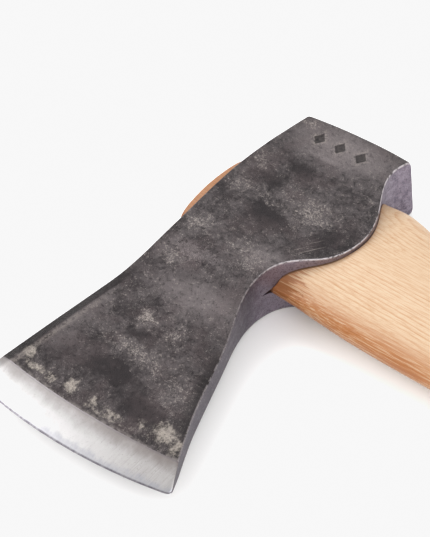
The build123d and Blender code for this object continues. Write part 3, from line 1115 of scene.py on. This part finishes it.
def wood(name, pale, line, dark, ring_width, burnt):
    """Wood grained along the handle: growth rings, fibres, a darker front that is partly painted shade on
    its rounding, and scorched if burnt, with painted shade where it meets the steel.
    """
    n = Nodes(name)
    p = n.place()
    x, y, z = n.parts(p)
    sway = n.times(n.math("SUBTRACT", n.noise(p, (160.0, 30.0, 30.0), 2.0, 0.5, 3.0), 0.5), 2.6)
    fan = n.times(n.plus(x, -20.0), n.math("SUBTRACT", 0.037, n.times(y, 0.0013)))
    height = n.plus(z, -RING_MIDDLE[1])
    flare = n.times(n.math("MINIMUM", n.plus(x, -20.0), 40.0), n.band(y, -14.0, 16.0), 0.3)
    side = n.plus(y, -RING_MIDDLE[0], flare, n.plus(sway, fan))
    radius = n.math("POWER", n.plus(n.times(side, side), n.times(height, height)), 0.5)
    uneven = n.times(n.noise(n.vector("MULTIPLY", p, (0.0, 1.0, 1.0)), 4.0, 3.0, 0.6, 7.0), 1.5)
    phase = n.math("FRACT", n.plus(n.times(radius, 1 / ring_width), uneven))
    late = n.times(n.band(phase, 0.5, 0.92), n.band(phase, 1.0, 0.95))
    late = n.times(late, n.scaled(n.noise(p, (80.0, 1.8, 1.8), 2.0, 0.55, 25.0), -0.7, 2.0))
    fibre = n.noise(p, (8.0, 0.24, 0.24), 4.0, 0.75, 2.0)
    broad = n.noise(p, (120.0, 9.0, 9.0), 2.0, 0.5, 9.0)
    pores = n.band(n.noise(p, (3.5, 0.22, 0.22), 2.0, 0.5, 14.0), 0.58, 0.7)
    n.colour = n.mix(n.times(late, n.scaled(fibre, 0.3, 1.15)), pale, line)
    n.over(line, n.band(fibre, 0.46, 0.62), 0.6)
    n.over(dark, pores, n.scaled(late, 0.2, 0.5))
    # The band along the handle's front is darker: partly darker wood with streaks, partly painted shade
    # on the rounded front
    front = n.plus(y, n.times(x, 0.066), 33.6)
    streaks = n.noise(p, (75.0, 0.45, 0.45), 4.0, 0.7, 31.0)
    front = n.plus(front, n.times(n.math("SUBTRACT", n.plus(broad, n.times(streaks, 2.0)), 1.5), 5.0))
    dark_front_and_shade = n.band(front, FRONT_BAND[0], FRONT_BAND[1])
    n.over(dark, dark_front_and_shade, n.scaled(n.band(streaks, 0.4, 0.58), 0.35, 1.2))
    n.over(SCORCH, dark_front_and_shade, n.band(streaks, 0.54, 0.68), 0.85)
    if burnt:
        tongue = n.band(x, -21.0, -27.0)
        n.over(dark, tongue, n.scaled(fibre, 0.6, 1.0))
        n.over(SCORCH, tongue, n.band(fibre, 0.4, 0.6), 0.5)
        scorch_and_joint_shade(n, p, y)
    relief = n.weighed((late, -0.5), (pores, -0.5), (fibre, 0.4))
    return n.finish(n.scaled(late, 0.5, 0.4), 0.0, n.bump(relief, 0.1, 0.35))


def scorch_and_joint_shade(n, p, y):
    """Colours the burnt streaks that start at the steel, longest at the front, with a soft tint next to
    the steel that is partly painted shade, and a dark line of painted shade where the wood meets the
    steel.
    """
    from_head = n.attribute("from_head")
    streaks = n.noise(p, (60.0, 0.7, 0.7), 3.0, 0.65, 17.0)
    longest = n.scaled(n.band(y, -22.0, -34.0), 0.6, 14.0)
    left = n.math("SUBTRACT", from_head, n.times(n.band(streaks, 0.37, 0.62), longest))
    outside = n.band(from_head, -2.0, -0.5)
    tint = n.times(n.band(left, 1.8, -1.5), outside, n.scaled(n.band(y, -16.0, -33.0), 0.45, 0.9))
    n.over(SCORCH, tint)
    # A dark line right at the steel: painted shade in the joint between the wood and the head
    n.over(PAINTED_JOINT_SHADE, n.band(from_head, 0.5, 0.1), outside, 0.7)


def hammered_steel():
    """The end of the steel wedge, marked by the hammer."""
    n = Nodes("wedge_steel")
    p = n.place()
    mark = n.noise(p, 1.4, 4.0, 0.6, 2.0)
    n.colour = n.mix(n.band(mark, 0.4, 0.62), GROUND_DARK, BEVEL_GREY)
    return n.finish(n.scaled(mark, 0.3, 0.6), 1.0, n.bump(mark, 0.2, 0.6))


def table_top():
    """The plain white table, with the faintest unevenness."""
    n = Nodes("white_table")
    cloud = n.noise(n.place(), 400, 2.0, 0.5)
    n.colour = n.mix(cloud, FLOOR_COLOUR, FLOOR_SHADE)
    return n.finish(0.7, 0.0)


# ---- camera, light and floor

def aim(thing, position, target):
    """Points a camera or lamp at a target."""
    thing.location = position
    thing.rotation_euler = (Vector(target) - Vector(position)).to_track_quat("-Z", "Y").to_euler()


def add_camera():
    """The camera of the product shot, on a long lens."""
    data = bpy.data.cameras.new("camera")
    data.lens = FOCAL_LENGTH
    data.sensor_width = SENSOR_WIDTH
    camera = linked("camera", data)
    target = Vector(place(CAMERA_TARGET))
    level = math.cos(CAMERA_ELEVATION)
    sideways = math.sin(CAMERA_AZIMUTH) * level
    forward = Vector((-sideways, math.cos(CAMERA_AZIMUTH) * level, -math.sin(CAMERA_ELEVATION)))
    aim(camera, target - forward * CAMERA_DISTANCE, target)
    bpy.context.scene.camera = camera


def add_softbox(name, direction, distance, size, radiance):
    """A square studio light in this direction from the head, of this size in metres and brightness."""
    data = bpy.data.lights.new(name, "AREA")
    data.shape = "RECTANGLE"
    data.size, data.size_y = size
    data.energy = radiance * math.pi * size[0] * size[1]
    lamp = linked(name, data)
    target = Vector(place(LIGHT_TARGET))
    aim(lamp, target + Vector(direction).normalized() * distance, target)


def add_world():
    """Even light from all round, as in a white studio."""
    world = bpy.data.worlds.new("studio")
    bpy.context.scene.world = world
    world.use_nodes = True
    background = world.node_tree.nodes["Background"]
    background.inputs["Color"].default_value = (*WORLD_COLOUR, 1)
    background.inputs["Strength"].default_value = WORLD_STRENGTH


def set_white_point():
    """Plain colours, with the brightest whites held just under pure white, as on studio paper."""
    view = bpy.context.scene.view_settings
    view.view_transform = "Standard"
    view.use_curve_mapping = True
    curve = view.curve_mapping.curves[3]
    curve.points[-1].location = (WHITE_POINT, WHITE_POINT)
    curve.points.new(0.0, 0.0)
    for point in curve.points:
        point.handle_type = "VECTOR"
    view.curve_mapping.extend = "HORIZONTAL"
    view.curve_mapping.update()


def add_floor():
    """The plain pale table that the hatchet lies on."""
    form = bmesh.new()
    bmesh.ops.create_grid(form, x_segments=2, y_segments=2, size=FLOOR_SIZE)
    mesh = bpy.data.meshes.new("floor")
    form.to_mesh(mesh)
    form.free()
    mesh.materials.append(table_top())
    floor = linked("floor", mesh)
    floor.location.z = cad_box[0][2] - FLOOR_GAP


# ---- the hatchet

def main():
    """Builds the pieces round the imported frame, and the studio."""
    head = build_head([forge_scale(), ground_steel(), polished_bevel()])
    shade(head, HEAD_SHARP)
    handle = build_handle([wood("hickory", WOOD_PALE, WOOD_LINE, WOOD_DARK, HICKORY_RINGS, True)])
    shade(handle, HANDLE_SHARP)
    for piece, node, slot in ((head, "head", "forged_steel"), (handle, "handle", "hickory")):
        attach(piece, "root")
        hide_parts(node)
    wedge_wood = wood("wedge_wood", WEDGE_PALE, WEDGE_LINE, WOOD_DARK, WEDGE_RINGS, False)
    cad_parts["wooden_wedge"].material_slots[0].material = wedge_wood
    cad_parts["steel_wedge"].material_slots[0].material = hammered_steel()
    add_camera()
    add_floor()
    for softbox in SOFTBOXES:
        add_softbox(*softbox)
    add_world()
    set_white_point()


main()
